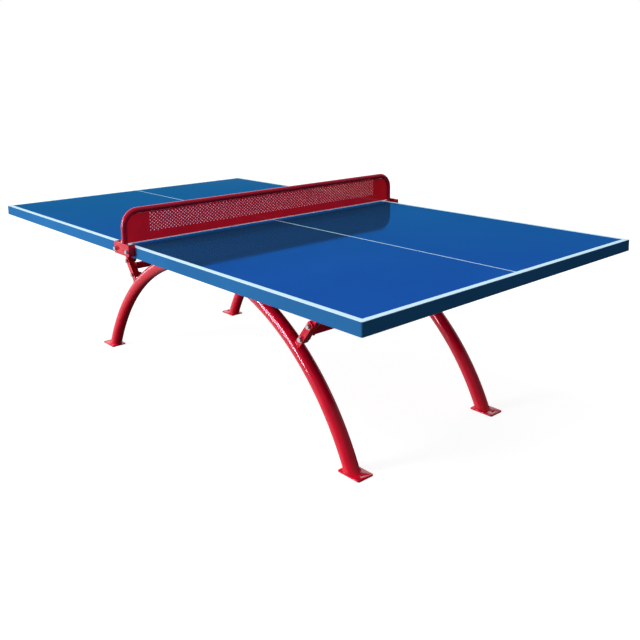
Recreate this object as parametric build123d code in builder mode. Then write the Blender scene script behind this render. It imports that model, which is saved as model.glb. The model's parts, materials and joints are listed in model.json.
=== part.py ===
"""Fixed outdoor table tennis table: two moulded half tops on a steel frame and two arched tube legs.

Units are millimetres, +Z is up and +X runs along the table. The origin lies on the ground under the
middle of the net. Left and right are -X and +X, front and rear are -Y and +Y.
"""

from build123d import *
import os
from math import cos, radians, sin, sqrt, tan

os.makedirs("parts", exist_ok=True)

# Playing top
table_length = 2740.0
table_width = 1525.0
table_height = 760.0
seam_gap = 2.0
rim_depth = 46.0
rim_wall = 7.0
deck_wall = 6.0
corner_round = 6.0
edge_round = 2.5
rib_wall = 4.0
rib_depth = 24.0
boss_radius = 11.0
pilot_depth = 16.0

# Steel frame under the top
rail_wall = 2.0
cross_rail_width = 40.0
cross_rail_height = 25.0
cross_rail_length = 1300.0
cross_rail_first_x = 80.0
cross_rail_end_inset = 190.0
long_rail_width = 40.0
long_rail_height = 25.0
long_rail_start_x = 6.0
long_rail_overhang = 30.0
seam_beam_width = 60.0
seam_beam_height = 30.0
seam_beam_wall = 3.0
seam_beam_overhang = 60.0
screw_row_inner_y = 150.0
screw_row_edge_inset = 90.0

# Arched legs
arch_spacing = 780.0
arch_half_span = 932.0
arch_tube_radius = 30.0
arch_tube_wall = 3.0
foot_plate_length = 112.0
foot_plate_width = 76.0
foot_plate_thickness = 6.0
foot_plate_toe = 73.0
foot_plate_round = 6.0
anchor_hole_radius = 6.0
anchor_hole_inset = 20.0
saddle_plate_thickness = 5.0
saddle_plate_half_width = 55.0
saddle_cheek_half_width = 31.0
saddle_cheek_depth = 15.0
saddle_bolt_offset = 42.0

# Struts, lugs and cross beams; the struts stand square to the arch
strut_angle = 51.5
strut_width = 30.0
strut_depth = 20.0
strut_wall = 2.0
strut_gap = 18.0
strut_bolt_first = 29.0
strut_bolt_spacing = 81.0
strut_bolt_edge = 20.0
lug_thickness = 6.0
lug_corner_round = 8.0
end_plate_thickness = 6.0
cross_beam_side = 30.0
cross_beam_wall = 2.0
beam_washer_clearance = 0.5
top_plate_length = 120.0
top_plate_width = 50.0
top_plate_thickness = 5.0
top_plate_bolt_offset = 44.0

# Net
net_height = 152.5
net_tube_radius = 12.5
net_tube_wall = 2.0
net_bend_radius = 62.5
net_clearance = 0.3
panel_thickness = 6.0
panel_gap = 4.0
panel_hem_radius = 4.0
panel_hem_inset = 14.0
hole_radius = 3.2
hole_pitch_y = 17.5
hole_pitch_z = 14.4
hole_columns = 76
hole_rows = 6
hole_field_bottom = 48.0
bracket_length = 126.0
bracket_height = 49.0
bracket_rise = 13.0
bracket_wall = 4.0
bracket_round = 4.0
bracket_bolt_offset = 49.0
bracket_bolt_drop = 29.0

# Fasteners: shank radius, width across flats, head height, nut height
m12 = {"shank": 6.0, "flats": 18.0, "head": 7.5, "nut": 10.8}
m10 = {"shank": 5.0, "flats": 16.0, "head": 6.4, "nut": 8.4}
m8 = {"shank": 4.0, "flats": 13.0, "head": 5.3, "nut": 6.8}
bolt_play = 0.5
thread_end = 4.0
washer_radius = 12.0
washer_thickness = 2.5
net_washer_radius = 10.0
net_washer_thickness = 2.0
screw_radius = 3.0
screw_head_radius = 6.0
screw_head_height = 4.0
screw_play = 0.4
plug_flange = 3.0
plug_depth = 14.0
plug_play = 0.2

# Heights, from the top down
half_length = (table_length - seam_gap) / 2
half_width = table_width / 2
rim_bottom = table_height - rim_depth
deck_bottom = table_height - deck_wall
rib_bottom = deck_bottom - rib_depth
cross_rail_bottom = rib_bottom - cross_rail_height
long_rail_bottom = cross_rail_bottom - long_rail_height
seam_beam_bottom = long_rail_bottom - seam_beam_height
arch_top = seam_beam_bottom - saddle_plate_thickness

# Places along and across the table
arch_y = arch_spacing / 2
apex_height = arch_top - arch_tube_radius
arch_radius = (arch_half_span**2 + apex_height**2) / (2 * apex_height)
arch_centre_z = apex_height - arch_radius
arch_outer_radius = arch_radius + arch_tube_radius
cross_rail_last_x = table_length / 2 - cross_rail_end_inset
cross_rail_x = {
    "inner": cross_rail_first_x,
    "middle": (cross_rail_first_x + cross_rail_last_x) / 2,
    "outer": cross_rail_last_x,
}
long_rail_end_x = cross_rail_last_x + long_rail_overhang
screw_row_outer_y = cross_rail_length / 2 - screw_row_edge_inset
screw_rows_y = (-screw_row_outer_y, -screw_row_inner_y, screw_row_inner_y, screw_row_outer_y)
nut_corner = m8["flats"] / sqrt(3)
seam_bolt_x = seam_beam_width / 2 - 2 * seam_beam_wall - nut_corner - bolt_play
foot_plate_end_x = arch_half_span + foot_plate_toe
anchor_x = foot_plate_end_x - anchor_hole_inset
strut_top = long_rail_bottom - top_plate_thickness
strut_bottom_radius = arch_outer_radius + strut_gap
bolt_radii = (
    arch_outer_radius + strut_bolt_first,
    arch_outer_radius + strut_bolt_first + strut_bolt_spacing,
)
lug_end_radius = bolt_radii[1] + strut_bolt_edge
beam_reach = cross_beam_side / sqrt(2) + washer_radius + beam_washer_clearance

# Places on the net
net_tube_y = half_width + net_clearance + net_tube_radius
net_top = table_height + net_height
net_tube_z = net_top - net_tube_radius
bracket_inner_y = net_tube_y + net_tube_radius + net_clearance
bracket_outer_y = bracket_inner_y + bracket_wall
bracket_top = table_height + bracket_rise
bracket_bottom = bracket_top - bracket_height
bracket_bolt_z = bracket_top - bracket_bolt_drop

sides = {"left": -1, "right": 1}
edges_of_table = {"front": -1, "rear": 1}
corners = [
    (f"{side}_{edge}", x_sign, y_sign)
    for side, x_sign in sides.items()
    for edge, y_sign in edges_of_table.items()
]


def save(part, name):
    part.label = name
    export_step(part, f"parts/{name}.step")


def mirrored(part, x_sign, y_sign):
    """A piece modelled on the right rear quarter, mirrored to another quarter."""
    if x_sign < 0:
        part = mirror(part, about=Plane.YZ)
    if y_sign < 0:
        part = mirror(part, about=Plane.XZ)
    return part


def save_at_corners(part, name):
    for corner, x_sign, y_sign in corners:
        save(mirrored(part, x_sign, y_sign), f"{name}_{corner}")


def on_strut(radius):
    """The point of the strut's axis that lies this far from the arch's centre."""
    angle = radians(strut_angle)
    return (radius * cos(angle), arch_centre_z + radius * sin(angle))


def strut_plane(radius):
    """The plane square to the strut, with its X axis across the table and its Y axis in the arch."""
    x, z = on_strut(radius)
    angle = radians(strut_angle)
    return Plane(origin=(x, arch_y, z), x_dir=(0, 1, 0), z_dir=(cos(angle), 0, sin(angle)))


def arch_solid(tube_radius):
    """The whole ring that the rear arch's tube is cut from, at this tube radius."""
    ring = Torus(major_radius=arch_radius, minor_radius=tube_radius, rotation=(90, 0, 0), mode=Mode.PRIVATE)
    return ring.moved(Location((0, arch_y, arch_centre_z)))


def hex_prism(size, height):
    """A chamfered hexagon standing on the XY plane."""
    inner = size["flats"] / 2
    with BuildPart() as prism:
        with BuildSketch():
            RegularPolygon(radius=inner, side_count=6, major_radius=False)
        extrude(amount=height)
        rise = height / tan(radians(30))
        Cone(
            bottom_radius=0.96 * inner + rise,
            top_radius=0.96 * inner,
            height=height,
            align=(Align.CENTER, Align.CENTER, Align.MIN),
            mode=Mode.INTERSECT,
        )
    return prism.part


def hex_bolt(size, length):
    """A hexagon bolt: its head stands up from the XY plane and its shank hangs below."""
    with BuildPart() as bolt:
        add(hex_prism(size, size["head"]))
        with BuildSketch():
            Circle(size["shank"])
        extrude(amount=-length)
        tip = bolt.faces().sort_by(Axis.Z)[0].edges()
        chamfer(tip, length=size["shank"] * 0.15)
    return bolt.part


def hex_nut(size):
    """A hexagon nut standing on the XY plane, open for its bolt's thread."""
    with BuildPart() as nut:
        add(hex_prism(size, size["nut"]))
        with BuildSketch():
            Circle(size["shank"])
        extrude(amount=size["nut"], mode=Mode.SUBTRACT)
    return nut.part


def ring_washer(outer, hole, thickness):
    """A flat washer standing on the XY plane."""
    with BuildPart() as washer:
        with BuildSketch():
            Circle(outer)
            Circle(hole, mode=Mode.SUBTRACT)
        extrude(amount=thickness)
    return washer.part


def tube_bar(plane, width, height, wall, length):
    """A rectangular tube extruded from this plane."""
    with BuildPart() as bar:
        with BuildSketch(plane):
            RectangleRounded(width, height, 2 * wall)
            RectangleRounded(width - 2 * wall, height - 2 * wall, wall, mode=Mode.SUBTRACT)
        extrude(amount=length)
    return bar.part


def group(part, places):
    """Copies of one fastener at many places, as separate solids of one node."""
    with BuildPart() as copies:
        for place in places:
            add(part.moved(place))
    return copies.part


def quarter_places(points):
    """The points of the right rear quarter, repeated in all four quarters."""
    return [(x_sign * x, y_sign * y) for x, y in points for _, x_sign, y_sign in corners]


def across(x, y, z):
    """A place whose local +Z points outwards across the table, at this point."""
    return Location(Plane(origin=(x, y, z), x_dir=(1, 0, 0), z_dir=(0, 1 if y > 0 else -1, 0)))


def inwards(x, y, z):
    """A place whose local +Z points towards the middle of the table, at this point."""
    return Location(Plane(origin=(x, y, z), x_dir=(1, 0, 0), z_dir=(0, -1 if y > 0 else 1, 0)))


def brick(low, high):
    """A box between two opposite corners."""
    span = [end - start for start, end in zip(low, high)]
    return Box(*span, align=(Align.MIN, Align.MIN, Align.MIN)).moved(Location(low))


def moulded_half():
    """One moulded half top as abutting solids: its deck, the four walls of its rim, and its ribs."""
    seam_x = seam_gap / 2
    end_x = table_length / 2
    inner_y = half_width - rim_wall
    stations = list(cross_rail_x.values())
    rib_x = stations + [(start + end) / 2 for start, end in zip(stations, stations[1:])]
    with BuildPart() as block:
        with BuildSketch(Plane.XY.offset(rim_bottom)):
            with Locations((seam_x + half_length / 2, 0)):
                Rectangle(half_length, table_width)
        extrude(amount=rim_depth)
        outer_corners = block.edges().filter_by(Axis.Z).group_by(Axis.X)[-1]
        fillet(outer_corners, corner_round)
        top_edges = block.faces().sort_by(Axis.Z)[-1].edges()
        fillet(top_edges, edge_round)
        with BuildSketch(Plane.XZ):
            with Locations((bracket_bolt_offset, bracket_bolt_z)):
                Circle(m10["shank"] + bolt_play)
        extrude(amount=half_width, both=True, mode=Mode.SUBTRACT)
    deck = block.part & brick((seam_x, -half_width, deck_bottom), (end_x, half_width, table_height))
    walls = [
        block.part & brick((seam_x, -half_width, rim_bottom), (end_x, -inner_y, deck_bottom)),
        block.part & brick((seam_x, inner_y, rim_bottom), (end_x, half_width, deck_bottom)),
        block.part & brick((seam_x, -inner_y, rim_bottom), (seam_x + rim_wall, inner_y, deck_bottom)),
        block.part & brick((end_x - rim_wall, -inner_y, rim_bottom), (end_x, inner_y, deck_bottom)),
    ]
    ribs = []
    for x in rib_x:
        with BuildPart() as rib:
            with BuildSketch(Plane.XY.offset(rib_bottom)):
                with Locations((x, 0)):
                    Rectangle(rib_wall, 2 * inner_y)
                if x in stations:
                    with Locations(*[(x, y) for y in screw_rows_y]):
                        Circle(boss_radius)
            extrude(amount=rib_depth)
            if x in stations:
                with BuildSketch(Plane.XY.offset(rib_bottom)):
                    with Locations(*[(x, y) for y in screw_rows_y]):
                        Circle(screw_radius)
                extrude(amount=pilot_depth, mode=Mode.SUBTRACT)
        ribs.append(rib.part)
    return Compound([piece.solid() for piece in (deck, *walls, *ribs)])


right_half = moulded_half()
save(right_half, "table_top_right")
save(mirrored(right_half, -1, 1), "table_top_left")

# Cross rails, screwed up into the bosses
for station, rail_x in cross_rail_x.items():
    with BuildPart() as cross_rail:
        add(
            tube_bar(
                Plane(
                    origin=(rail_x, -cross_rail_length / 2, cross_rail_bottom + cross_rail_height / 2),
                    x_dir=(1, 0, 0),
                    z_dir=(0, 1, 0),
                ),
                cross_rail_width,
                cross_rail_height,
                rail_wall,
                cross_rail_length,
            )
        )
        with BuildSketch(Plane.XY.offset(cross_rail_bottom)):
            with Locations(*[(rail_x, y) for y in screw_rows_y]):
                Circle(screw_radius + screw_play)
        extrude(amount=cross_rail_height, mode=Mode.SUBTRACT)
    for side, x_sign in sides.items():
        save(mirrored(cross_rail.part, x_sign, 1), f"cross_rail_{side}_{station}")

# Long rails over the arches, which carry the cross rails
strut_top_x = (strut_top - arch_centre_z) / tan(radians(strut_angle))
top_plate_bolts = [(strut_top_x + sign * top_plate_bolt_offset, arch_y) for sign in (-1, 1)]
with BuildPart() as long_rail:
    add(
        tube_bar(
            Plane(
                origin=(long_rail_start_x, arch_y, long_rail_bottom + long_rail_height / 2),
                x_dir=(0, 1, 0),
                z_dir=(1, 0, 0),
            ),
            long_rail_width,
            long_rail_height,
            rail_wall,
            long_rail_end_x - long_rail_start_x,
        )
    )
    with BuildSketch(Plane.XY.offset(long_rail_bottom)):
        with Locations((seam_bolt_x, arch_y), *top_plate_bolts):
            Circle(m8["shank"] + bolt_play)
    extrude(amount=long_rail_height, mode=Mode.SUBTRACT)
save_at_corners(long_rail.part, "long_rail")

# Seam beam, which joins the two halves over the crowns of the arches
seam_beam_length = arch_spacing + 2 * seam_beam_overhang
saddle_bolt_y = [arch_y - saddle_bolt_offset, arch_y + saddle_bolt_offset]
with BuildPart() as seam_beam:
    add(
        tube_bar(
            Plane(
                origin=(0, -seam_beam_length / 2, seam_beam_bottom + seam_beam_height / 2),
                x_dir=(1, 0, 0),
                z_dir=(0, 1, 0),
            ),
            seam_beam_width,
            seam_beam_height,
            seam_beam_wall,
            seam_beam_length,
        )
    )
    with BuildSketch(Plane.XY.offset(seam_beam_bottom)):
        with Locations(*[(0, sign * y) for y in saddle_bolt_y for sign in (-1, 1)]):
            Circle(m10["shank"] + bolt_play)
    extrude(amount=seam_beam_height, mode=Mode.SUBTRACT)
    with BuildSketch(Plane.XY.offset(long_rail_bottom)):
        with Locations(*quarter_places([(seam_bolt_x, arch_y)])):
            Circle(m8["shank"] + bolt_play)
    extrude(amount=-seam_beam_wall, mode=Mode.SUBTRACT)
save(seam_beam.part, "seam_beam")

# Crown saddles: a plate under the seam beam, with cheeks welded round the arch
with BuildPart() as crown_saddle:
    with BuildSketch(Plane.XY.offset(arch_top)):
        with Locations((0, arch_y)):
            Rectangle(seam_beam_width, 2 * saddle_plate_half_width)
    extrude(amount=saddle_plate_thickness)
    with BuildSketch(Plane.XY.offset(arch_top)):
        with Locations((0, arch_y)):
            Rectangle(seam_beam_width, 2 * saddle_cheek_half_width)
    extrude(amount=-saddle_cheek_depth)
    add(arch_solid(arch_tube_radius), mode=Mode.SUBTRACT)
    with BuildSketch(Plane.XY.offset(arch_top)):
        with Locations(*[(0, y) for y in saddle_bolt_y]):
            Circle(m10["shank"] + bolt_play)
    extrude(amount=saddle_plate_thickness, mode=Mode.SUBTRACT)
for edge, y_sign in edges_of_table.items():
    save(mirrored(crown_saddle.part, 1, y_sign), f"crown_saddle_{edge}")

# Arched legs: one bent tube each, cut flat where they stand on their foot plates
with BuildPart() as arch_leg:
    add(arch_solid(arch_tube_radius))
    add(arch_solid(arch_tube_radius - arch_tube_wall), mode=Mode.SUBTRACT)
    split(bisect_by=Plane.XY.offset(foot_plate_thickness), keep=Keep.TOP)
for edge, y_sign in edges_of_table.items():
    save(mirrored(arch_leg.part, 1, y_sign), f"arch_leg_{edge}")

# Foot plates with one anchor hole in the toe
with BuildPart() as foot_plate:
    with BuildSketch():
        with Locations((foot_plate_end_x - foot_plate_length / 2, arch_y)):
            RectangleRounded(foot_plate_length, foot_plate_width, foot_plate_round)
        with Locations((anchor_x, arch_y)):
            Circle(anchor_hole_radius, mode=Mode.SUBTRACT)
    extrude(amount=foot_plate_thickness)
save_at_corners(foot_plate.part, "foot_plate")

# Struts: square to the arch below, cut level under the top plate
strut_length = (strut_top - arch_centre_z) / sin(radians(strut_angle)) - strut_bottom_radius
bolt_axis_plane = Plane(origin=(0, arch_y, 0), x_dir=(1, 0, 0), z_dir=(0, -1, 0))
with BuildPart() as strut:
    add(
        tube_bar(
            strut_plane(strut_bottom_radius),
            strut_depth,
            strut_width,
            strut_wall,
            strut_length + strut_width,
        )
    )
    split(bisect_by=Plane.XY.offset(strut_top), keep=Keep.BOTTOM)
    with BuildSketch(bolt_axis_plane):
        with Locations(*[on_strut(radius) for radius in bolt_radii]):
            Circle(m12["shank"] + bolt_play)
    extrude(amount=strut_depth, both=True, mode=Mode.SUBTRACT)
save_at_corners(strut.part, "strut")

# Strut top plates, bolted up into the long rails
with BuildPart() as top_plate:
    with BuildSketch(Plane.XY.offset(strut_top)):
        with Locations((strut_top_x, arch_y)):
            Rectangle(top_plate_length, top_plate_width)
        with Locations(*top_plate_bolts):
            Circle(m8["shank"] + bolt_play, mode=Mode.SUBTRACT)
    extrude(amount=top_plate_thickness)
save_at_corners(top_plate.part, "strut_top_plate")


# Flat plates either side of the strut, pierced for its two bolts
def bolt_plate(start_y, thickness, first_radius):
    """A plate as wide as the strut, from this radius to past the upper bolt."""
    plane = strut_plane(first_radius)
    with BuildPart() as plate:
        with BuildSketch(plane):
            with Locations((start_y - arch_y + thickness / 2, 0)):
                Rectangle(thickness, strut_width)
        extrude(amount=lug_end_radius - first_radius)
        outwards = Axis(plane.origin, plane.z_dir)
        far_corners = plate.faces().sort_by(outwards)[-1].edges().filter_by(Axis.Y)
        fillet(far_corners, lug_corner_round)
        with BuildSketch(bolt_axis_plane):
            with Locations(*[on_strut(radius) for radius in bolt_radii]):
                Circle(m12["shank"] + bolt_play)
        extrude(amount=strut_depth + thickness, both=True, mode=Mode.SUBTRACT)
    return plate.part


lug_y = arch_y + strut_depth / 2
end_plate_y = arch_y - strut_depth / 2 - end_plate_thickness
with BuildPart() as arch_lug:
    add(bolt_plate(lug_y, lug_thickness, arch_radius))
    add(arch_solid(arch_tube_radius), mode=Mode.SUBTRACT)
save_at_corners(arch_lug.part, "arch_lug")
save_at_corners(bolt_plate(end_plate_y, end_plate_thickness, strut_bottom_radius), "beam_end_plate")

# Cross beams between the front and rear struts
beam_x, beam_z = on_strut(bolt_radii[1] - beam_reach)
beam_plane = Plane(origin=(beam_x, -end_plate_y, beam_z), x_dir=(1, 0, 0), z_dir=(0, 1, 0))
cross_beam = tube_bar(beam_plane, cross_beam_side, cross_beam_side, cross_beam_wall, 2 * end_plate_y)
for side, x_sign in sides.items():
    save(mirrored(cross_beam, x_sign, 1), f"cross_beam_{side}")

# Net frame: an upturned U of tube whose ends drop into the brackets
net_tube_bottom = bracket_bottom + plug_flange
with BuildPart() as net_frame:
    with BuildLine(Plane.YZ) as net_route:
        FilletPolyline(
            (-net_tube_y, net_tube_bottom),
            (-net_tube_y, net_tube_z),
            (net_tube_y, net_tube_z),
            (net_tube_y, net_tube_bottom),
            radius=net_bend_radius,
        )
    with BuildSketch(Plane(origin=(0, -net_tube_y, net_tube_bottom), z_dir=(0, 0, 1))):
        Circle(net_tube_radius)
        Circle(net_tube_radius - net_tube_wall, mode=Mode.SUBTRACT)
    sweep()
save(net_frame.part, "net_frame")

# Net panel: a perforated sheet welded inside the frame, with a rolled lower hem
panel_half_width = net_tube_y - net_tube_radius - net_clearance / 2
panel_top = net_tube_z - net_tube_radius - net_clearance
panel_bottom = table_height + panel_gap
panel_corner = net_bend_radius - net_tube_radius - net_clearance
field_middle_z = table_height + hole_field_bottom + (hole_rows - 1) * hole_pitch_z / 2
with BuildPart() as net_panel:
    with BuildSketch(Plane.YZ.offset(-panel_thickness / 2)):
        with BuildLine():
            Polyline(
                (-panel_half_width, panel_top - panel_corner),
                (-panel_half_width, panel_bottom),
                (panel_half_width, panel_bottom),
                (panel_half_width, panel_top - panel_corner),
            )
            RadiusArc(
                (panel_half_width, panel_top - panel_corner),
                (panel_half_width - panel_corner, panel_top),
                -panel_corner,
            )
            Line((panel_half_width - panel_corner, panel_top), (panel_corner - panel_half_width, panel_top))
            RadiusArc(
                (panel_corner - panel_half_width, panel_top),
                (-panel_half_width, panel_top - panel_corner),
                -panel_corner,
            )
        make_face()
        with Locations((0, field_middle_z)):
            with GridLocations(hole_pitch_y, hole_pitch_z, hole_columns, hole_rows):
                Circle(hole_radius, mode=Mode.SUBTRACT)
            with GridLocations(hole_pitch_y, hole_pitch_z, hole_columns - 1, hole_rows - 1):
                Circle(hole_radius, mode=Mode.SUBTRACT)
    extrude(amount=panel_thickness)
    hem_start = panel_hem_inset - panel_half_width
    with BuildSketch(Plane(origin=(0, hem_start, panel_bottom), x_dir=(1, 0, 0), z_dir=(0, 1, 0))):
        with Locations((0, -panel_hem_radius)):
            Circle(panel_hem_radius)
    extrude(amount=-2 * hem_start)
save(net_panel.part, "net_panel")

# Net brackets: folded channels that hold the tube against the rim
with BuildPart() as net_bracket:
    with BuildSketch(Plane.XY.offset(bracket_bottom)):
        with Locations((0, (half_width + bracket_outer_y) / 2)):
            Rectangle(bracket_length, bracket_outer_y - half_width)
        with Locations((0, (half_width + bracket_inner_y) / 2)):
            Rectangle(bracket_length - 2 * bracket_wall, bracket_inner_y - half_width, mode=Mode.SUBTRACT)
    extrude(amount=bracket_height)
    folds = net_bracket.edges().filter_by(Axis.Z).group_by(Axis.Y)[-1]
    fillet(folds, bracket_round)
    with BuildSketch(Plane.XZ):
        with Locations((-bracket_bolt_offset, bracket_bolt_z), (bracket_bolt_offset, bracket_bolt_z)):
            Circle(m10["shank"] + bolt_play)
    extrude(amount=-bracket_outer_y, mode=Mode.SUBTRACT)
for edge, y_sign in edges_of_table.items():
    save(mirrored(net_bracket.part, 1, y_sign), f"net_bracket_{edge}")

# Strut fasteners: heads outside, nuts on the beam's side
strut_washer = ring_washer(washer_radius, m12["shank"] + bolt_play, washer_thickness)
lug_face_y = lug_y + lug_thickness
strut_grip = lug_face_y - end_plate_y + 2 * washer_thickness
strut_points = [
    (x_sign * on_strut(radius)[0], y_sign, on_strut(radius)[1])
    for radius in bolt_radii
    for _, x_sign, y_sign in corners
]
strut_bolt = hex_bolt(m12, strut_grip + m12["nut"] + thread_end)
head_places = [across(x, sign * (lug_face_y + washer_thickness), z) for x, sign, z in strut_points]
nut_places = [inwards(x, sign * (end_plate_y - washer_thickness), z) for x, sign, z in strut_points]
washer_places = [across(x, sign * lug_face_y, z) for x, sign, z in strut_points]
washer_places += [inwards(x, sign * end_plate_y, z) for x, sign, z in strut_points]
save(group(strut_bolt, head_places), "strut_bolts")
save(group(hex_nut(m12), nut_places), "strut_nuts")
save(group(strut_washer, washer_places), "strut_washers")

# Net bracket fasteners: heads outside, nuts inside the rim
net_nut_y = half_width - rim_wall
net_grip = bracket_outer_y + net_washer_thickness - net_nut_y
net_points = [(x_sign * bracket_bolt_offset, y_sign) for _, x_sign, y_sign in corners]
net_washer = ring_washer(net_washer_radius, m10["shank"] + bolt_play, net_washer_thickness)
net_bolt = hex_bolt(m10, net_grip + m10["nut"] + thread_end)
head_y = bracket_outer_y + net_washer_thickness
save(group(net_bolt, [across(x, sign * head_y, bracket_bolt_z) for x, sign in net_points]), "net_bolts")
save(
    group(net_washer, [across(x, sign * bracket_outer_y, bracket_bolt_z) for x, sign in net_points]),
    "net_washers",
)
save(
    group(hex_nut(m10), [inwards(x, sign * net_nut_y, bracket_bolt_z) for x, sign in net_points]),
    "net_nuts",
)

# Top plate fasteners: heads below the plates, nuts on the long rails
up = Location((0, 0, 0), (180, 0, 0))
plate_bolt = hex_bolt(m8, top_plate_thickness + long_rail_height + m8["nut"] + thread_end).moved(up)
plate_points = quarter_places(top_plate_bolts)
save(group(plate_bolt, [Location((x, y, strut_top)) for x, y in plate_points]), "plate_bolts")
save(group(hex_nut(m8), [Location((x, y, cross_rail_bottom)) for x, y in plate_points]), "plate_nuts")

# Seam fasteners: heads on the long rails, weld nuts inside the seam beam's upper wall
rail_bolt = hex_bolt(m8, long_rail_height + seam_beam_wall + m8["nut"] + thread_end)
rail_nut_z = long_rail_bottom - seam_beam_wall
rail_points = quarter_places([(seam_bolt_x, arch_y)])
rail_nut = hex_nut(m8).moved(up)
save(group(rail_bolt, [Location((x, y, cross_rail_bottom)) for x, y in rail_points]), "rail_bolts")
save(group(rail_nut, [Location((x, y, rail_nut_z)) for x, y in rail_points]), "rail_nuts")

# Saddle fasteners: seam beam to the crown saddles
saddle_grip = seam_beam_height + saddle_plate_thickness
saddle_bolt = hex_bolt(m10, saddle_grip + m10["nut"] + thread_end)
saddle_points = [(0, sign * y) for y in saddle_bolt_y for sign in (-1, 1)]
saddle_nut = hex_nut(m10).moved(up)
save(group(saddle_bolt, [Location((x, y, long_rail_bottom)) for x, y in saddle_points]), "saddle_bolts")
save(group(saddle_nut, [Location((x, y, arch_top)) for x, y in saddle_points]), "saddle_nuts")

# Screws that hold the moulded tops down on the cross rails
with BuildPart() as top_screw:
    with BuildSketch():
        Circle(screw_head_radius)
    extrude(amount=-screw_head_height)
    fillet(top_screw.faces().sort_by(Axis.Z)[0].edges(), screw_head_height * 0.45)
    with BuildSketch():
        Circle(screw_radius)
    extrude(amount=cross_rail_height + pilot_depth)
screw_points = [
    (x_sign * x, y) for x in cross_rail_x.values() for x_sign in (-1, 1) for y in screw_rows_y
]
save(group(top_screw.part, [Location((x, y, cross_rail_bottom)) for x, y in screw_points]), "top_screws")


# Plastic plugs in the open ends of the rails
def rail_plug(width, height, wall):
    """A plug whose flange lies against the tube's end, with its body pushed in along local +Z."""
    with BuildPart() as plug:
        with BuildSketch():
            RectangleRounded(width, height, 2 * wall)
        extrude(amount=-plug_flange)
        with BuildSketch():
            RectangleRounded(
                width - 2 * wall - 2 * plug_play,
                height - 2 * wall - 2 * plug_play,
                wall - plug_play,
            )
        extrude(amount=plug_depth)
    return plug.part


cross_plug = rail_plug(cross_rail_width, cross_rail_height, rail_wall)
long_plug = rail_plug(long_rail_width, long_rail_height, rail_wall)
cross_plug_z = cross_rail_bottom + cross_rail_height / 2
long_plug_z = long_rail_bottom + long_rail_height / 2
cross_ends = quarter_places([(x, cross_rail_length / 2) for x in cross_rail_x.values()])
long_ends = quarter_places([(long_rail_end_x, arch_y)])
with BuildPart() as rail_plugs:
    for x, y in cross_ends:
        add(cross_plug.moved(inwards(x, y, cross_plug_z)))
    for x, y in long_ends:
        facing = (-1, 0, 0) if x > 0 else (1, 0, 0)
        end_plane = Plane(origin=(x, y, long_plug_z), x_dir=(0, 1, 0), z_dir=facing)
        add(long_plug.moved(Location(end_plane)))
save(rail_plugs.part, "rail_plugs")

with BuildPart() as net_plug:
    with BuildSketch():
        Circle(net_tube_radius)
    extrude(amount=-plug_flange)
    with BuildSketch():
        Circle(net_tube_radius - net_tube_wall - plug_play)
    extrude(amount=plug_depth)
net_ends = [Location((0, sign * net_tube_y, net_tube_bottom)) for sign in (-1, 1)]
save(group(net_plug.part, net_ends), "net_tube_plugs")
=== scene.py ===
"""Looks of the outdoor table tennis table: its paints, lines, welds, threads and smooth tubes.

Lengths are metres in the model's own frame: +X runs along the table, +Y across it, +Z is up.
"""

import json
from math import asin, cos, pi, radians, sin, sqrt, tan

import bmesh
import bpy
from mathutils import Matrix, Vector


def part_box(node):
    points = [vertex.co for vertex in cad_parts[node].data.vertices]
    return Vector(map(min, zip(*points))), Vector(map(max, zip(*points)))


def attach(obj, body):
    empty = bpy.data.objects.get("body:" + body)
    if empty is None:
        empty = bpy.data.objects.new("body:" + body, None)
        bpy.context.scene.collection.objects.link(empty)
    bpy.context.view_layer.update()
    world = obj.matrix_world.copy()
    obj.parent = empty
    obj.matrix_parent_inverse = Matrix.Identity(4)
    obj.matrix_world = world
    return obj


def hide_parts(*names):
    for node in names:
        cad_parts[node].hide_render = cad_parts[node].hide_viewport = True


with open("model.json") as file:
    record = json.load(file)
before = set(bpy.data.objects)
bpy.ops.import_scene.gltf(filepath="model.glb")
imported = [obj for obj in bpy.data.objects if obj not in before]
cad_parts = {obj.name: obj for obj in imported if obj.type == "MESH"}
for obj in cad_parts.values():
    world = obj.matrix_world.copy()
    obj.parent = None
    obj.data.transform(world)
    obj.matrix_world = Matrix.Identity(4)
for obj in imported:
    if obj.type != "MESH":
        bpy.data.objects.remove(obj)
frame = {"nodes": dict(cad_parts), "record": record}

bl_info = {
    "name": "Outdoor table tennis table",
    "version": (1, 0, 0),
    "blender": (4, 5, 0),
    "location": "3D View > Sidebar > Table Tennis",
    "description": "Paints, lines, welds, threads and smooth tubes of an outdoor table tennis table",
    "category": "Object",
}

MM = 0.001
SIDES = {"left": -1, "right": 1}
EDGES = {"front": -1, "rear": 1}
CORNERS = [(f"{side}_{edge}", sx, sy) for side, sx in SIDES.items() for edge, sy in EDGES.items()]

_, top_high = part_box("table_top_right")
TABLE_HALF_LENGTH = top_high.x
TABLE_HALF_WIDTH = top_high.y
TABLE_TOP = top_high.z

# The arches: one tube bent round a circle and cut level where it stands on its foot plates
arch_low, arch_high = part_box("arch_leg_rear")
ARCH_Y = (arch_low.y + arch_high.y) / 2
ARCH_TUBE = (arch_high.y - arch_low.y) / 2
ARCH_FOOT = arch_low.z
arch_rise = arch_high.z - ARCH_FOOT
ARCH_OUTER = (arch_high.x**2 + arch_rise**2) / (2 * arch_rise)
ARCH_RADIUS = ARCH_OUTER - ARCH_TUBE
ARCH_CENTRE = arch_high.z - ARCH_OUTER
FOOT_ANGLE = asin((ARCH_FOOT - ARCH_CENTRE) / ARCH_RADIUS)

# The struts stand square to the arch, at this angle from the level
STRUT_ANGLE = radians(51.5)
STRUT_WIDTH = 30 * MM
STRUT_DEPTH = 20 * MM
lug_low, lug_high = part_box("arch_lug_right_rear")
end_plate_low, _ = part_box("beam_end_plate_right_rear")
beam_low, beam_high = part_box("cross_beam_right")
top_plate_low, top_plate_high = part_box("strut_top_plate_right_rear")

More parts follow.
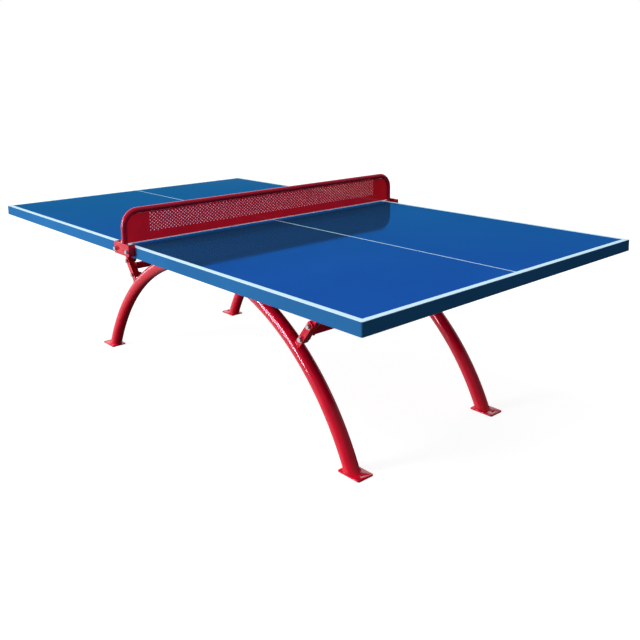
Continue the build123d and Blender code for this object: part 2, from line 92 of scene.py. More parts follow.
# The bolts: the width and height of the head, and the thread's radius and pitch
STRUT_BOLT = {"flats": 18 * MM, "head": 7.5 * MM, "radius": 6 * MM, "pitch": 1.75 * MM}
NET_BOLT = {"flats": 16 * MM, "head": 6.4 * MM, "radius": 5 * MM, "pitch": 1.5 * MM}

# How far a strut's two bolts stand out from the arch's outer side
STRUT_BOLT_REACHES = (29 * MM, 110 * MM)

# The net's tube, and the radius of its bends
net_low, net_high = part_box("net_frame")
NET_TUBE = net_high.x
NET_BEND = 62.5 * MM

# The net's sheet. Its holes keep this far from its ends, and lie between these heights above the top
sheet_low, sheet_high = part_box("net_panel")
FIELD_INSET = 98 * MM
FIELD_LOW = 40 * MM
FIELD_HIGH = 128 * MM

# The key soft box, and the highlight lamp in the same place
KEY_PLACE = (-1.5, -4.6, 1.6)
KEY_TARGET = (0.2, 0.0, 0.4)

# Corners closer than this are one
MERGE_DISTANCE = 0.01 * MM

# A weld bead's section has this many sides, and one in so many of its rings is a lump
WELD_SIDES = 10
WELD_LUMPS = 3

# How far the sharp edges of each kind of plate are eased
EASING = {
    "foot_plate_": 0.9 * MM,
    "arch_lug_": 0.7 * MM,
    "beam_end_plate_": 0.7 * MM,
    "strut_": 0.4 * MM,
    "net_bracket_": 0.8 * MM,
    "cross_beam_": 0.4 * MM,
}


class TableSizes(bpy.types.PropertyGroup):
    """Sizes of the painted lines and the weld beads."""

    border_line: bpy.props.FloatProperty(
        name="Border line", description="Width of the white lines along the edges of the top",
        default=22 * MM, min=5 * MM, max=50 * MM, unit="LENGTH",
    )
    centre_line: bpy.props.FloatProperty(
        name="Centre line", description="Width of the white line along the middle of the top",
        default=5 * MM, min=2 * MM, max=20 * MM, unit="LENGTH",
    )
    weld_bead: bpy.props.FloatProperty(
        name="Weld bead", description="Radius of a weld bead",
        default=3.2 * MM, min=1 * MM, max=6 * MM, unit="LENGTH",
    )


class TableColours(bpy.types.PropertyGroup):
    """Colours of the paints and metals, with a darkened red as painted shade and pale colours as painted
    highlights on the net.
    """

    top_blue: bpy.props.FloatVectorProperty(
        name="Top blue", description="Gelcoat of the playing top", subtype="COLOR",
        size=3, min=0, max=1, default=(0.024, 0.098, 0.265),
    )
    rim_blue: bpy.props.FloatVectorProperty(
        name="Rim blue", description="Gelcoat of the rim", subtype="COLOR",
        size=3, min=0, max=1, default=(0.028, 0.162, 0.405),
    )
    line_white: bpy.props.FloatVectorProperty(
        name="Line white", description="Paint of the lines", subtype="COLOR",
        size=3, min=0, max=1, default=(0.58, 0.80, 0.92),
    )
    leg_red: bpy.props.FloatVectorProperty(
        name="Leg red", description="Powder coat of the legs", subtype="COLOR",
        size=3, min=0, max=1, default=(0.90, 0.004, 0.034),
    )
    # Painted shade: the net's tube carries the legs' red, darkened to stand in for shade on it
    net_red: bpy.props.FloatVectorProperty(
        name="Net red", description="Powder coat of the net's tube frame", subtype="COLOR",
        size=3, min=0, max=1, default=(0.48, 0.004, 0.026),
    )
    sheet_red: bpy.props.FloatVectorProperty(
        name="Sheet red", description="Powder coat of the net's sheet", subtype="COLOR",
        size=3, min=0, max=1, default=(0.58, 0.007, 0.018),
    )
    # Painted highlight: the pale pink on the walls of the net's holes stands in for light caught there
    hole_wall_highlight: bpy.props.FloatVectorProperty(
        name="Hole pink", description="Walls of the holes in the net", subtype="COLOR",
        size=3, min=0, max=1, default=(0.64, 0.26, 0.29),
    )
    # Painted highlight: the near white of the net's hem stands in for the light along its rolled edge
    hem_highlight_white: bpy.props.FloatVectorProperty(
        name="Hem white", description="Rolled lower hem of the net", subtype="COLOR",
        size=3, min=0, max=1, default=(0.95, 0.95, 1.0),
    )
    zinc: bpy.props.FloatVectorProperty(
        name="Zinc", description="Plating of the bolts", subtype="COLOR",
        size=3, min=0, max=1, default=(0.72, 0.72, 0.74),
    )
    frame_grey: bpy.props.FloatVectorProperty(
        name="Frame grey", description="Powder coat of the frame under the top", subtype="COLOR",
        size=3, min=0, max=1, default=(0.045, 0.047, 0.052),
    )


def sizes():
    """The sizes that the panel shows."""
    return bpy.context.scene.table_sizes


def colours():
    """The colours that the panel shows."""
    return bpy.context.scene.table_colours


# ---------------------------------------------------------------- materials


class Nodes:
    """A node tree, built a node at a time."""

    def __init__(self, tree):
        self.tree = tree

    def node(self, kind, **settings):
        """A new node with these settings."""
        node = self.tree.nodes.new(kind)
        for key, value in settings.items():
            setattr(node, key, value)
        return node

    def link(self, source, socket):
        self.tree.links.new(source, socket)

    def feed(self, socket, value):
        """A socket takes either another node's output or a plain number."""
        if isinstance(value, bpy.types.NodeSocket):
            self.link(value, socket)
        else:
            socket.default_value = value

    def between(self, value, low, high, to_low=0.0, to_high=1.0, course="LINEAR"):
        """The value, taken from one range to another and kept inside it."""
        node = self.node("ShaderNodeMapRange", clamp=True, interpolation_type=course)
        self.feed(node.inputs["Value"], value)
        for key, number in (("From Min", low), ("From Max", high), ("To Min", to_low), ("To Max", to_high)):
            self.feed(node.inputs[key], number)
        return node.outputs[0]

    def parts(self, vector):
        """The X, Y and Z of a vector."""
        node = self.node("ShaderNodeSeparateXYZ")
        self.link(vector, node.inputs[0])
        return node.outputs


class Recipe(Nodes):
    """A material, whose patterns lie on the piece's own coordinates."""

    def __init__(self, name):
        self.material = bpy.data.materials.new(name)
        self.material.use_nodes = True
        super().__init__(self.material.node_tree)
        self.shader = self.tree.nodes["Principled BSDF"]
        self.place = self.node("ShaderNodeTexCoord").outputs["Object"]

    def maths(self, operation, *values, clamp=False):
        """Arithmetic on one or two values."""
        node = self.node("ShaderNodeMath", operation=operation, use_clamp=clamp)
        for socket, value in zip(node.inputs, values):
            self.feed(socket, value)
        return node.outputs[0]

    def stretched(self, scale):
        """The piece's own coordinates, scaled differently along each axis."""
        node = self.node("ShaderNodeMapping")
        self.link(self.place, node.inputs["Vector"])
        node.inputs["Scale"].default_value = scale
        return node.outputs[0]

    def noise(self, scale, detail=2.0, roughness=0.5, place=None, distortion=0.0):
        """Noise, with so many features to a metre."""
        node = self.node("ShaderNodeTexNoise")
        self.link(place or self.place, node.inputs["Vector"])
        node.inputs["Scale"].default_value = scale
        node.inputs["Detail"].default_value = detail
        node.inputs["Roughness"].default_value = roughness
        node.inputs["Distortion"].default_value = distortion
        return node.outputs["Fac"]

    def clouds(self, scale, detail, roughness, to_low=0.0, to_high=1.0):
        """Noise, whose middle is spread over the whole range."""
        return self.between(self.noise(scale, detail, roughness), 0.3, 0.7, to_low, to_high)

    def cells(self, scale):
        """The distance to the nearest of scattered points."""
        node = self.node("ShaderNodeTexVoronoi")
        self.link(self.place, node.inputs["Vector"])
        node.inputs["Scale"].default_value = scale
        return node.outputs["Distance"]

    def facing(self):
        """The X, Y and Z of the way that the surface faces."""
        return self.parts(self.node("ShaderNodeNewGeometry").outputs["Normal"])

    def mixed(self, amount, first, second):
        """The first colour, taken towards the second."""
        node = self.node("ShaderNodeMix", data_type="RGBA")
        self.feed(node.inputs["Factor"], amount)
        for key, value in (("A", first), ("B", second)):
            socket = [s for s in node.inputs if s.name == key and s.type == "RGBA"][0]
            self.feed(socket, value if isinstance(value, bpy.types.NodeSocket) else (*value, 1.0))
        return [s for s in node.outputs if s.type == "RGBA"][0]

    def bump(self, height, distance, strength, under=None):
        """A surface raised by the height, on top of the relief under it."""
        node = self.node("ShaderNodeBump")
        self.link(height, node.inputs["Height"])
        node.inputs["Distance"].default_value = distance
        node.inputs["Strength"].default_value = strength
        if under is not None:
            self.link(under, node.inputs["Normal"])
        return node.outputs[0]

    def finish(self, colour, roughness, normal, **fixed):
        """Feed the shader, and set the sockets that are the same all over."""
        self.feed(self.shader.inputs["Base Color"], colour)
        self.feed(self.shader.inputs["Roughness"], roughness)
        self.link(normal, self.shader.inputs["Normal"])
        for name, value in fixed.items():
            self.shader.inputs[name.replace("_", " ")].default_value = value
        return self.material


def shade(colour, factor):
    """The colour, lighter or darker."""
    return tuple(min(1.0, channel * factor) for channel in colour)


def gelcoat():
    """Blue gelcoat with painted lines along the edges and the middle of the top."""
    mix = Recipe("blue_gelcoat")
    blue = colours().top_blue
    rim = colours().rim_blue
    white = colours().line_white
    x, y, z = mix.parts(mix.place)
    out_x = mix.maths("ABSOLUTE", x)
    out_y = mix.maths("ABSOLUTE", y)
    uneven = 0.35 * MM
    wobble = mix.clouds(90.0, 3.0, 0.6, -uneven, uneven)

    def beyond(distance, start):
        """1 where the distance is past the start, with the paint's slightly uneven edge."""
        shifted = mix.maths("ADD", distance, wobble)
        return mix.between(shifted, start - uneven, start + uneven)

    width = sizes().border_line
    end_line = beyond(out_x, TABLE_HALF_LENGTH - width)
    side_line = beyond(out_y, TABLE_HALF_WIDTH - width)
    middle = mix.maths("SUBTRACT", 1.0, beyond(out_y, sizes().centre_line / 2))
    lines = mix.maths("MAXIMUM", mix.maths("MAXIMUM", end_line, side_line), middle)
    _, _, facing_up = mix.facing()
    upper = mix.between(facing_up, 0.55, 0.75)
    high = mix.between(z, TABLE_TOP - 3 * MM, TABLE_TOP - 2 * MM)
    paint = mix.maths("MULTIPLY", lines, mix.maths("MULTIPLY", upper, high))
    cloudy = mix.clouds(2.2, 5.0, 0.62)
    grain = mix.between(mix.noise(900.0, 2.0, 0.7), 0.35, 0.65)
    ground = mix.mixed(cloudy, shade(blue, 0.93), shade(blue, 1.07))
    ground = mix.mixed(mix.maths("MULTIPLY", grain, 0.25), ground, shade(blue, 1.25))
    side = mix.between(mix.maths("ABSOLUTE", facing_up), 0.35, 0.75, 1.0, 0.0)
    ground = mix.mixed(side, ground, mix.mixed(cloudy, shade(rim, 0.93), shade(rim, 1.07)))
    patchy = mix.between(mix.noise(35.0, 6.0, 0.7), 0.62, 0.80)
    line_colour = mix.mixed(mix.maths("MULTIPLY", patchy, 0.5), white, shade(white, 0.82))
    colour = mix.mixed(paint, ground, line_colour)
    smears = mix.noise(6.0, 6.0, 0.65, place=mix.stretched((1.0, 3.0, 1.0)), distortion=0.6)
    polish = mix.between(smears, 0.35, 0.75, 0.045, 0.105)
    roughness = mix.maths("ADD", polish, mix.maths("MULTIPLY", paint, 0.16))
    peel = mix.bump(mix.noise(55.0, 2.0, 0.45), 0.10 * MM, 0.35)
    step = mix.bump(paint, 0.06 * MM, 0.8, under=peel)
    bare = mix.maths("MULTIPLY", mix.maths("SUBTRACT", 1.0, paint), mix.maths("SUBTRACT", 1.0, side))
    metallic = mix.maths("MULTIPLY", bare, 0.6)
    mix.link(metallic, mix.shader.inputs["Metallic"])
    return mix.finish(
        colour, roughness, step,
        Specular_IOR_Level=0.0, Specular_Tint=(0.0, 0.37, 0.77, 1.0),
    )


def powder_coat(name, base, softness=0.16, dust=False, marks=None):
    """Sprayed red paint: orange peel, a little shade variation, and dust towards the ground if wanted."""
    mix = Recipe(name)
    peel_scale = 420.0
    broad = mix.clouds(9.0, 4.0, 0.6)
    colour = mix.mixed(broad, shade(base, 0.90), shade(base, 1.08))
    specks = mix.between(mix.cells(260.0), 0.0, 0.045, 1.0, 0.0)
    colour = mix.mixed(mix.maths("MULTIPLY", specks, 0.35), colour, shade(base, 0.45))
    roughness = mix.between(mix.noise(24.0, 5.0, 0.6), 0.3, 0.75, softness * 0.8, softness * 1.5)
    if dust:
        dust_height = 45 * MM
        _, _, height = mix.parts(mix.place)
        low = mix.between(height, 0.0, dust_height, 1.0, 0.0)
        settled = mix.maths("MULTIPLY", low, mix.between(mix.noise(60.0, 6.0, 0.7), 0.42, 0.75))
        colour = mix.mixed(mix.maths("MULTIPLY", settled, 0.12), colour, (0.30, 0.16, 0.13))
        roughness = mix.maths("ADD", roughness, mix.maths("MULTIPLY", settled, 0.3), clamp=True)
    # An optional function that adds painted highlights, as on the net's sheet
    if marks:
        colour = marks(mix, colour)
    fine = mix.bump(mix.noise(peel_scale, 2.0, 0.5), 0.05 * MM, 0.2)
    wavy = mix.bump(mix.noise(peel_scale / 6, 2.0, 0.5), 0.25 * MM, 0.06, under=fine)
    return mix.finish(
        colour, roughness, wavy, Coat_Weight=0.6, Coat_Roughness=0.05, Coat_IOR=1.42,
        Specular_IOR_Level=0.15, Specular_Tint=(1.0, 0.55, 0.80, 1.0),
    )


def hole_and_hem_highlights(mix, colour):
    """Painted highlights on the net's sheet: paler walls in its holes, and a pale band along its rolled
    hem.
    """
    _, y, z = mix.parts(mix.place)
    facing_along, _, _ = mix.facing()
    wall = mix.between(mix.maths("ABSOLUTE", facing_along), 0.3, 0.6, 1.0, 0.0)
    inside = mix.maths("LESS_THAN", mix.maths("ABSOLUTE", y), sheet_high.y - FIELD_INSET)
    above = mix.maths("GREATER_THAN", z, TABLE_TOP + FIELD_LOW)
    below = mix.maths("LESS_THAN", z, TABLE_TOP + FIELD_HIGH)
    field = mix.maths("MULTIPLY", mix.maths("MULTIPLY", inside, above), mix.maths("MULTIPLY", below, wall))
    # The hole walls are painted a patchy pale pink, as a painted highlight of the light caught in the holes
    patchy = mix.clouds(320.0, 3.0, 0.6)
    pink = colours().hole_wall_highlight
    colour = mix.mixed(field, colour, mix.mixed(patchy, pink, shade(pink, 1.2)))
    # Below the hem's edge the sheet is painted near white, a painted highlight along the rolled hem
    hem_edge, blur = sheet_low.z + 4 * MM, 0.5 * MM
    hem = mix.between(z, hem_edge - blur, hem_edge + blur, 1.0, 0.0)
    return mix.mixed(hem, colour, colours().hem_highlight_white)


def leg_coat():
    """Red of the legs, struts and welds, dusty near the ground."""
    return powder_coat("leg_red_coat", colours().leg_red, dust=True)


def net_coat():
    """The legs' red, painted darker on the net's tube as painted shade."""
    return powder_coat("net_red_coat", colours().net_red, softness=0.2)


def bracket_shaded_coat():
    """The legs' red, a shade darker on the net's brackets, as painted shade."""
    return powder_coat("bracket_shaded_coat", shade(colours().leg_red, 0.72))


def sheet_coat():
    """Red of the net's sheet, with painted highlights on its hole walls and its hem."""
    return powder_coat("net_sheet_coat", colours().sheet_red, softness=0.2, marks=hole_and_hem_highlights)


def zinc_plate():
    """Bright zinc with faint turning marks and a spangle."""
    mix = Recipe("zinc_plate")
    base = colours().zinc
    spangle = mix.between(mix.cells(700.0), 0.0, 0.6)
    clouds = mix.clouds(160.0, 4.0, 0.6)
    colour = mix.mixed(spangle, shade(base, 0.86), shade(base, 1.1))
    colour = mix.mixed(mix.maths("MULTIPLY", clouds, 0.4), colour, shade(base, 0.7))
    scratches = mix.noise(900.0, 3.0, 0.7, place=mix.stretched((1.0, 1.0, 0.12)))
    roughness = mix.between(scratches, 0.3, 0.7, 0.18, 0.42)
    return mix.finish(colour, roughness, mix.bump(scratches, 0.03 * MM, 0.3), Metallic=1.0)


def frame_coat():
    """Dark satin powder coat with its fine texture."""
    mix = Recipe("dark_frame_coat")
    base = colours().frame_grey
    broad = mix.clouds(12.0, 4.0, 0.6)
    colour = mix.mixed(broad, shade(base, 0.8), shade(base, 1.25))
    grit = mix.noise(1400.0, 2.0, 0.6)
    roughness = mix.clouds(40.0, 4.0, 0.6, 0.42, 0.58)
    return mix.finish(colour, roughness, mix.bump(grit, 0.06 * MM, 0.5), Specular_IOR_Level=0.4)


def plug_plastic():
    """Moulded black plastic with a spark-eroded grain."""
    mix = Recipe("plug_plastic")
    grain = mix.noise(2200.0, 3.0, 0.6)
    colour = mix.mixed(mix.between(grain, 0.3, 0.7), (0.012, 0.012, 0.013), (0.03, 0.03, 0.032))
    roughness = mix.clouds(80.0, 3.0, 0.6, 0.45, 0.6)
    return mix.finish(colour, roughness, mix.bump(grain, 0.05 * MM, 0.5))


# One finish for each slot, and two more: for the net's brackets, with painted shade, and for its sheet,
# with painted highlights
FINISHES = {
    "top_blue": gelcoat,
    "leg_red": leg_coat,
    "net_red": net_coat,
    "bracket_shaded_red": bracket_shaded_coat,
    "net_sheet": sheet_coat,
    "frame_steel": frame_coat,
    "bolt_steel": zinc_plate,
    "plug_black": plug_plastic,
}
made_finishes = {}


def finish_of(name):
    """The material of this name, made when it is first asked for."""
    if name not in made_finishes:
        made_finishes[name] = FINISHES[name]()
    return made_finishes[name]


def dress(piece, material):
    """Give the piece this material alone."""
    piece.data.materials.clear()
    piece.data.materials.append(material)


def dress_nodes(slot_name):
    """Every solid of this slot gets the slot's detailed finish."""
    for row in frame["record"]["subparts"]:
        if row["material_slot"] == slot_name:
            dress(frame["nodes"][row["node"]], finish_of(slot_name))


# ---------------------------------------------------------------- modelling


def only(piece):
    """This piece alone is selected and active."""
    bpy.ops.object.select_all(action="DESELECT")
    piece.select_set(True)
    bpy.context.view_layer.objects.active = piece


def fresh(name, add, **settings):
    """A primitive, added with nothing else selected, with its place put into its mesh."""
    bpy.ops.object.select_all(action="DESELECT")
    add(**settings)
    piece = bpy.context.object
    piece.name = piece.data.name = name
    bpy.ops.object.transform_apply(location=True, rotation=True, scale=True)
    return piece


def edit(piece):
    """Open the piece in edit mode with everything selected."""
    only(piece)
    bpy.ops.object.mode_set(mode="EDIT")
    bpy.ops.mesh.select_all(action="SELECT")


def leave_edit():
    """Back to object mode."""
    bpy.ops.object.mode_set(mode="OBJECT")


def choose(kind, test):
    """In edit mode, select the vertices, edges or faces that pass the test."""
    bpy.ops.mesh.select_mode(type=kind)
    bpy.ops.mesh.select_all(action="DESELECT")
    mesh = bmesh.from_edit_mesh(bpy.context.edit_object.data)
    items = {"VERT": mesh.verts, "EDGE": mesh.edges, "FACE": mesh.faces}[kind]
    for item in items:
        item.select_set(test(item))
    bmesh.update_edit_mesh(bpy.context.edit_object.data)


def cut(point, normal):
    """In edit mode, keep what lies on the side that the normal points to, and close the cut."""
    bpy.ops.mesh.select_all(action="SELECT")
    bpy.ops.mesh.bisect(plane_co=point, plane_no=normal, use_fill=True, clear_inner=True)


def add_modifier(piece, kind, **settings):
    """Add a modifier, set it and apply it."""
    only(piece)
    bpy.ops.object.modifier_add(type=kind)
    modifier = piece.modifiers[-1]
    for key, value in settings.items():
        setattr(modifier, key, value)
    bpy.ops.object.modifier_apply(modifier=modifier.name)


def tidy_mesh(piece):
    """Merge doubles and turn the faces outwards."""
    edit(piece)
    bpy.ops.mesh.remove_doubles(threshold=MERGE_DISTANCE)
    bpy.ops.mesh.select_all(action="SELECT")
    bpy.ops.mesh.normals_make_consistent(inside=False)
    leave_edit()


def copied(piece, name, placing):
    """A copy with its own mesh, placed by a matrix that may also mirror it."""
    mesh = piece.data.copy()
    mesh.transform(placing)
    if placing.determinant() < 0:
        mesh.flip_normals()
    copy = bpy.data.objects.new(name, mesh)
    bpy.context.scene.collection.objects.link(copy)
    return copy


def joined(name, pieces):
    """One piece made of several."""
    only(pieces[0])
    for piece in pieces:
        piece.select_set(True)
    bpy.ops.object.join()
    pieces[0].name = pieces[0].data.name = name
    return pieces[0]


def discard(piece):
    """Delete a piece that was only a pattern or a tool."""
    only(piece)
    bpy.ops.object.delete()


def mount(piece, slot_name, *nodes, angle=30.0, coat=None):
    """Shade the piece, coat it, and let it ride on the table in place of these nodes."""
    only(piece)
    bpy.ops.object.shade_smooth_by_angle(angle=radians(angle))
    dress(piece, finish_of(coat or slot_name))
    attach(piece, "root")
    if nodes:
        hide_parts(*nodes)
    return piece


def quarter(side, edge):
    """The mirroring that takes the right rear quarter to another one."""
    return Matrix.Diagonal((side, edge, 1.0, 1.0))


def on_strut(radius, y=ARCH_Y):
    """The point of the right rear strut's axis this far from the middle of the arch's circle."""
    return Vector((radius * cos(STRUT_ANGLE), y, ARCH_CENTRE + radius * sin(STRUT_ANGLE)))


def weld_bead(name, start, end):
    """A rippled bead from one point to another, with narrowed ends."""
    length = (end - start).length
    bead = fresh(
        name, bpy.ops.mesh.primitive_cylinder_add, vertices=WELD_SIDES,
        radius=sizes().weld_bead, depth=length,
    )
    ring_step, lump_height, tolerance = 0.9 * MM, 0.35 * MM, 0.1 * MM
    rings = max(6, round(length / ring_step))
    edit(bead)
    choose("EDGE", lambda edge: abs(edge.verts[0].co.z - edge.verts[1].co.z) > length / 2)
    bpy.ops.mesh.subdivide(number_cuts=rings)
    ripple = length / (rings + 1)
    choose("VERT", lambda vertex: round(vertex.co.z / ripple + rings) % WELD_LUMPS == 0)
    bpy.ops.transform.shrink_fatten(value=lump_height)
    for z in (-length / 2, length / 2):
        choose("VERT", lambda vertex: abs(vertex.co.z - z) < tolerance)
        bpy.ops.transform.resize(value=(0.5, 0.5, 1.0), center_override=(0, 0, z))
    leave_edit()
    turn = (end - start).to_track_quat("Z", "Y").to_matrix().to_4x4()
    placed = copied(bead, name, Matrix.Translation((start + end) / 2) @ turn)
    discard(bead)
    return placed


def weld_frame(name, corners):
    """Beads round a closed outline."""
    ends = corners[1:] + corners[:1]
    return joined(name, [weld_bead(f"{name}_{i}", *pair) for i, pair in enumerate(zip(corners, ends))])


def bolt_thread(name, radius, pitch, length):
    """A closed length of screw thread, going down from the XY plane."""
    depth = 0.61 * pitch
    root = radius - depth
    spare_turns = 3
    thread = fresh(
        name, bpy.ops.mesh.primitive_circle_add, vertices=4, radius=pitch / 2, fill_type="NOTHING",
        rotation=(radians(90), 0, 0), location=(root, 0, -length - spare_turns / 2 * pitch),
    )
    edit(thread)
    choose("VERT", lambda vertex: vertex.co.x < root - pitch / 4)
    bpy.ops.mesh.delete(type="VERT")
    bpy.ops.mesh.select_all(action="SELECT")
    bpy.ops.transform.resize(value=(2 * depth / pitch, 1.0, 1.0), center_override=(root, 0, 0))
    leave_edit()
    add_modifier(
        thread, "SCREW", axis="Z", angle=2 * pi, screw_offset=pitch,
        iterations=int(length / pitch) + spare_turns, steps=20, render_steps=20,
        use_merge_vertices=True, merge_threshold=MERGE_DISTANCE,
    )
    tidy_mesh(thread)
    edit(thread)
    cut((0, 0, -length), (0, 0, 1))
    cut((0, 0, 0), (0, 0, -1))
    leave_edit()
    tidy_mesh(thread)
    return thread


def threaded_bolt(name, flats, head, radius, pitch, length):
    """A hexagon bolt: its dished, chamfered head above the XY plane and its thread below."""
    inner = flats / 2
    bolt = fresh(
        name, bpy.ops.mesh.primitive_cylinder_add, vertices=6, radius=inner / cos(radians(30)),
        depth=head, location=(0, 0, head / 2),
    )
    dish_inset, dish_depth, edge_width = 1.4 * MM, 0.4 * MM, 0.25 * MM
    crown = 0.96 * inner
    slope = tan(radians(30))
    lift = 2 * MM
    cone = fresh(
        "chamfer_cone", bpy.ops.mesh.primitive_cone_add, vertices=48,
        radius1=crown + (head + lift) / slope, radius2=crown - lift / slope,
        depth=head + 2 * lift, location=(0, 0, head / 2),
    )
    add_modifier(bolt, "BOOLEAN", operation="INTERSECT", object=cone, solver="EXACT")
    discard(cone)
    edit(bolt)
    choose("FACE", lambda face: face.normal.z > 0.99 and face.calc_center_median().z > head * 0.9)
    bpy.ops.mesh.inset(thickness=dish_inset)
    bpy.ops.transform.translate(value=(0, 0, -dish_depth))
    leave_edit()
    add_modifier(bolt, "BEVEL", width=edge_width, segments=2, limit_method="ANGLE", angle_limit=radians(25))
    return joined(name, [bolt, bolt_thread(name + "_thread", radius, pitch, length)])


def eased(node, width):
    """A copy of a solid with its sharp edges eased."""
    source = frame["nodes"][node]
    piece = copied(source, node + "_eased", Matrix.Identity(4))
    edit(piece)
    bpy.ops.mesh.remove_doubles(threshold=MERGE_DISTANCE)
    bpy.ops.mesh.select_all(action="SELECT")
    bpy.ops.mesh.dissolve_limited(angle_limit=radians(0.5))
    leave_edit()
    add_modifier(
        piece, "BEVEL", width=width, segments=2, limit_method="ANGLE", angle_limit=radians(40),
        miter_outer="MITER_ARC",
    )
    return piece


# ---------------------------------------------------------------- operators


class TABLE_OT_paint_top(bpy.types.Operator):
    """Give the moulded tops their gelcoat and lines"""

    bl_idname = "table.paint_top"
    bl_label = "Paint the top"

    def execute(self, context):
        dress_nodes("top_blue")
        return {"FINISHED"}


class TABLE_OT_coat_steel(bpy.types.Operator):
    """Give the legs, struts, net and frame their coats"""

    bl_idname = "table.coat_steel"
    bl_label = "Coat the steel"

    def execute(self, context):
        for slot_name in ("leg_red", "net_red", "frame_steel", "bolt_steel", "plug_black"):
            dress_nodes(slot_name)
        dress(frame["nodes"]["net_panel"], finish_of("net_sheet"))
        return {"FINISHED"}


class TABLE_OT_bend_arches(bpy.types.Operator):
    """Bend the two arched tube legs"""

    bl_idname = "table.bend_arches"
    bl_label = "Bend the arches"

    def execute(self, context):
        overrun = radians(3)
        first = FOOT_ANGLE - overrun
        for edge, sign in EDGES.items():
            y = sign * ARCH_Y
            place = (ARCH_RADIUS * cos(first), y, ARCH_CENTRE + ARCH_RADIUS * sin(first))
            tube = fresh(
                f"arch_tube_{edge}", bpy.ops.mesh.primitive_circle_add, vertices=48, radius=ARCH_TUBE,
                fill_type="NOTHING", location=place, rotation=(0, -first, 0),
            )
            edit(tube)
            bpy.ops.mesh.spin(steps=110, angle=pi - 2 * first, center=(0, y, ARCH_CENTRE), axis=(0, 1, 0))
            cut((0, 0, ARCH_FOOT), (0, 0, 1))
            leave_edit()
            tidy_mesh(tube)
            mount(tube, "leg_red", f"arch_leg_{edge}")
        return {"FINISHED"}


class TABLE_OT_ease_plates(bpy.types.Operator):
    """Ease the edges of the foot plates, lugs, struts, beams, end plates and net brackets"""

    bl_idname = "table.ease_plates"
    bl_label = "Ease the plates"

    def execute(self, context):
        for row in frame["record"]["subparts"]:
            node, slot_name = row["node"], row["material_slot"]
            if slot_name not in ("leg_red", "net_red"):
                continue
            for start, width in EASING.items():
                if node.startswith(start):
                    # The brackets take a darkened copy of the legs' red, as painted shade
                    coat = "bracket_shaded_red" if start == "net_bracket_" else None
                    mount(eased(node, width), slot_name, node, angle=35.0, coat=coat)
        return {"FINISHED"}


class TABLE_OT_lay_welds(bpy.types.Operator):
    """Lay the weld beads at the feet, lugs, beams and top plates"""

    bl_idname = "table.lay_welds"
    bl_label = "Lay the welds"

    def execute(self, context):
        masters = {
            "foot": self.foot_weld(),
            "lug": self.lug_welds(),
            "beam": self.beam_welds(),
            "cap": self.cap_welds(),
        }
        for corner, side, edge in CORNERS:
            for kind, master in masters.items():
                mount(copied(master, f"{kind}_weld_{corner}", quarter(side, edge)), "leg_red", angle=60.0)
        for master in masters.values():
            discard(master)
        return {"FINISHED"}

    def foot_weld(self):
        """Round the arch, where its slanting tube meets the level foot plate."""
        segments, stand_off, lump_height = 180, 0.6 * MM, 0.4 * MM
        weld = fresh(
            "foot_weld", bpy.ops.mesh.primitive_torus_add,
            major_segments=segments, major_radius=ARCH_TUBE + stand_off,
            minor_segments=WELD_SIDES, minor_radius=sizes().weld_bead,
        )
        edit(weld)
        step = 2 * pi / segments
        start = Vector((1, 0))
        choose("VERT", lambda v: round((start.angle_signed(v.co.xy) + pi) / step) % WELD_LUMPS == 0)
        bpy.ops.transform.shrink_fatten(value=lump_height)
        bpy.ops.mesh.select_all(action="SELECT")
        bpy.ops.transform.resize(value=(1 / cos(FOOT_ANGLE), 1.0, 1.0), center_override=(0, 0, 0))
        bpy.ops.transform.translate(value=(ARCH_RADIUS * cos(FOOT_ANGLE), ARCH_Y, ARCH_FOOT))
        leave_edit()
        return weld

    def lug_welds(self):
        """Along both faces of the lug, where it stands on the tube."""
        half_length = 14 * MM
        along = Vector((-sin(STRUT_ANGLE), 0, cos(STRUT_ANGLE))) * half_length
        beads = []
        for y in (lug_low.y, lug_high.y):
            offset = y - ARCH_Y
            middle = on_strut(ARCH_RADIUS + sqrt(ARCH_TUBE**2 - offset**2), y)
            beads.append(weld_bead(f"lug_weld_{len(beads)}", middle - along, middle + along))
        return joined("lug_weld", beads)

    def beam_welds(self):
        """Round the beam's end, against its end plate."""
        outline = (
            (beam_low.x, beam_low.z), (beam_high.x, beam_low.z),
            (beam_high.x, beam_high.z), (beam_low.x, beam_high.z),
        )
        return weld_frame("beam_weld", [Vector((x, end_plate_low.y, z)) for x, z in outline])

    def cap_welds(self):
        """Across the strut's head, where its level cut meets the top plate."""
        middle = Vector(((top_plate_low.x + top_plate_high.x) / 2, ARCH_Y, top_plate_low.z))
        x = STRUT_WIDTH / 2 / sin(STRUT_ANGLE)
        y = STRUT_DEPTH / 2
        outline = ((-x, -y), (x, -y), (x, y), (-x, y))
        return weld_frame("cap_weld", [middle + Vector((*point, 0)) for point in outline])


